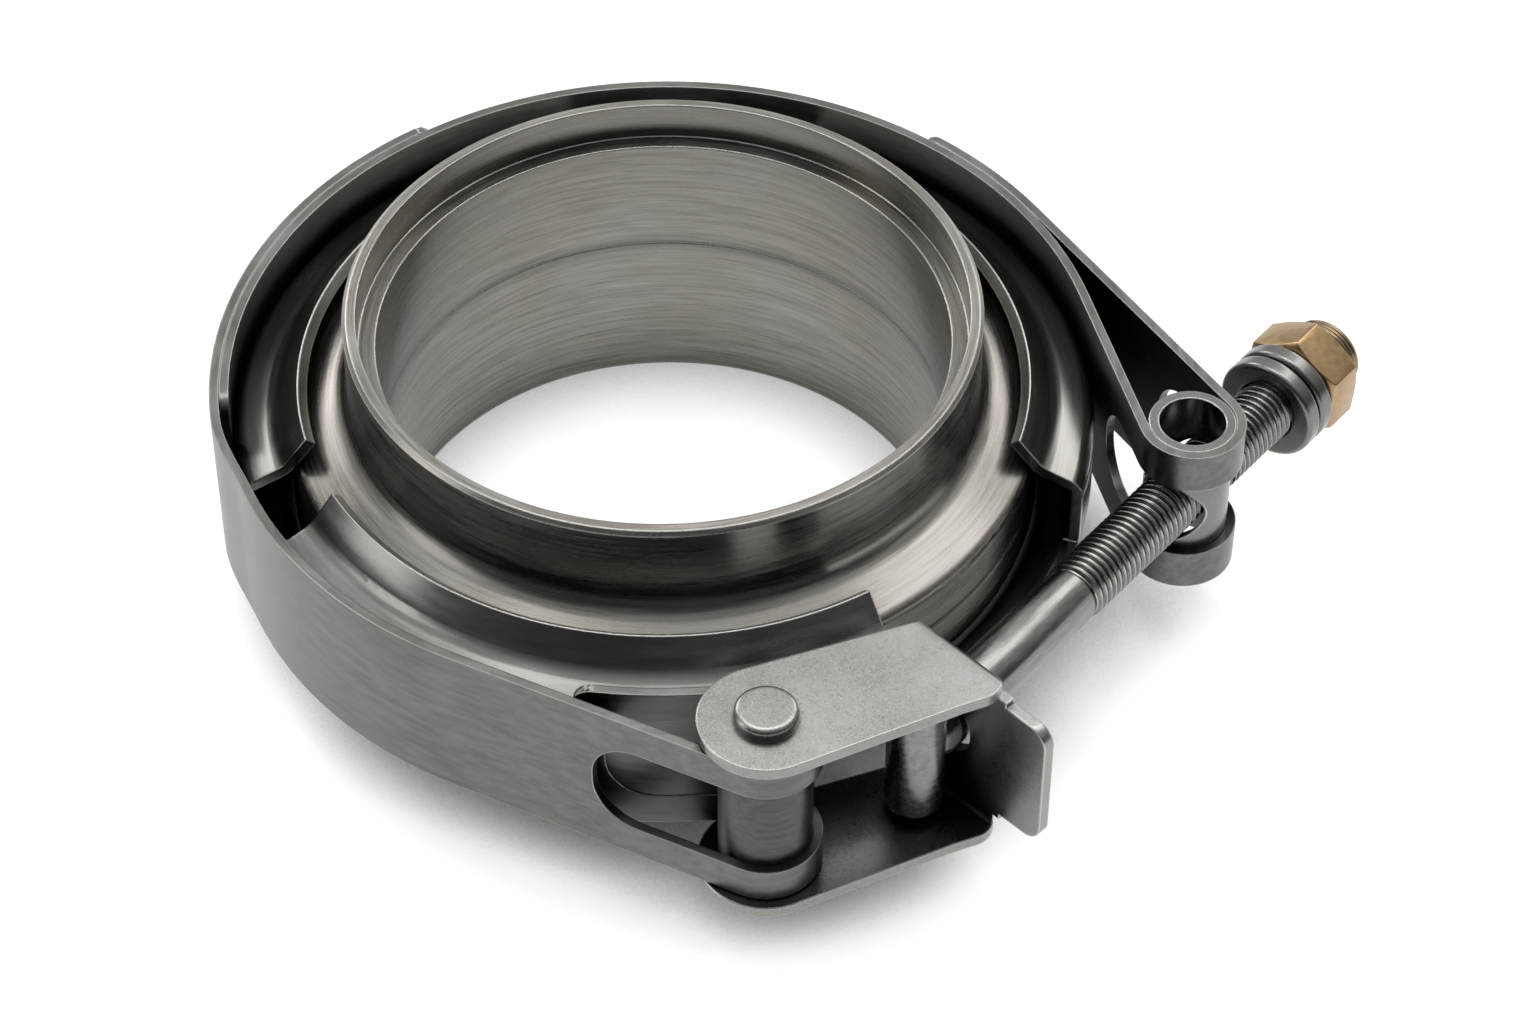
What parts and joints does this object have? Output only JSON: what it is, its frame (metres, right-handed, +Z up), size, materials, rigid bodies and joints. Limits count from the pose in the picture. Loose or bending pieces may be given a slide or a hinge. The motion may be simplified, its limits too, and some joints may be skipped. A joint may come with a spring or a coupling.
{
  "type": "v band clamp",
  "caption": "Quick release V-band clamp with T-bolt, trunnion and hinged latch link, closed on a pair of weld flanges.",
  "frame": {"origin": "flange axis at the bottom face of the lower flange's collar", "axes": "+Z up the flange axis, -Y toward the latch link, +X toward the trunnion and nut"},
  "size_m": [0.1479, 0.1252, 0.044],
  "materials": {
    "pressed_steel": "dark satin pressed sheet",
    "strap_steel": "satin rolled strip",
    "turned_steel": "fine turning marks",
    "bolt_steel": "rolled, satin",
    "nut_brass": "worn yellow plating"
  },
  "bodies": {
    "clamp": {"upper_flange": "turned_steel", "lower_flange": "turned_steel", "v_segment_left": "pressed_steel", "v_segment_front": "pressed_steel", "v_segment_right": "pressed_steel", "hinge_strap": "strap_steel", "trunnion_strap": "strap_steel", "hinge_bush": "turned_steel"},
    "latch": {"latch_link": "pressed_steel", "hinge_rivet": "turned_steel"},
    "swivel": {"trunnion": "turned_steel"},
    "bolt": {"t_bolt": "bolt_steel"},
    "washers": {"inner_washer": "bolt_steel", "outer_washer": "bolt_steel"},
    "nut": {"lock_nut": "nut_brass"}
  },
  "joints": [
    {"name": "latch_swing", "type": "hinge", "parent": "clamp", "child": "latch", "pos_m": [0.01319, -0.06099, 0.022], "axis": [0, 0, -1], "range_deg": [0, 150]},
    {"name": "bolt_swing", "type": "hinge", "parent": "clamp", "child": "swivel", "pos_m": [0.06615, -0.0093, 0.022], "axis": [0, 0, -1], "range_deg": [0, 1.5]},
    {"name": "bolt_slide", "type": "slide", "parent": "swivel", "child": "bolt", "axis": [-0.6256, -0.7802, 0], "range_m": [0, 0.003]},
    {"name": "nut_travel", "type": "slide", "parent": "bolt", "child": "washers", "axis": [-0.6256, -0.7802, 0], "range_m": [-0.006, 0.005]},
    {"name": "nut_spin", "type": "hinge", "parent": "washers", "child": "nut", "pos_m": [0.08273, 0.01138, 0.022], "axis": [-0.6256, -0.7802, 0], "range_deg": [-2165, 1805]}
  ],
  "couplings": [
    {"joint": "nut_spin", "follows": "nut_travel", "rad_per_m": 6283.2}
  ]
}
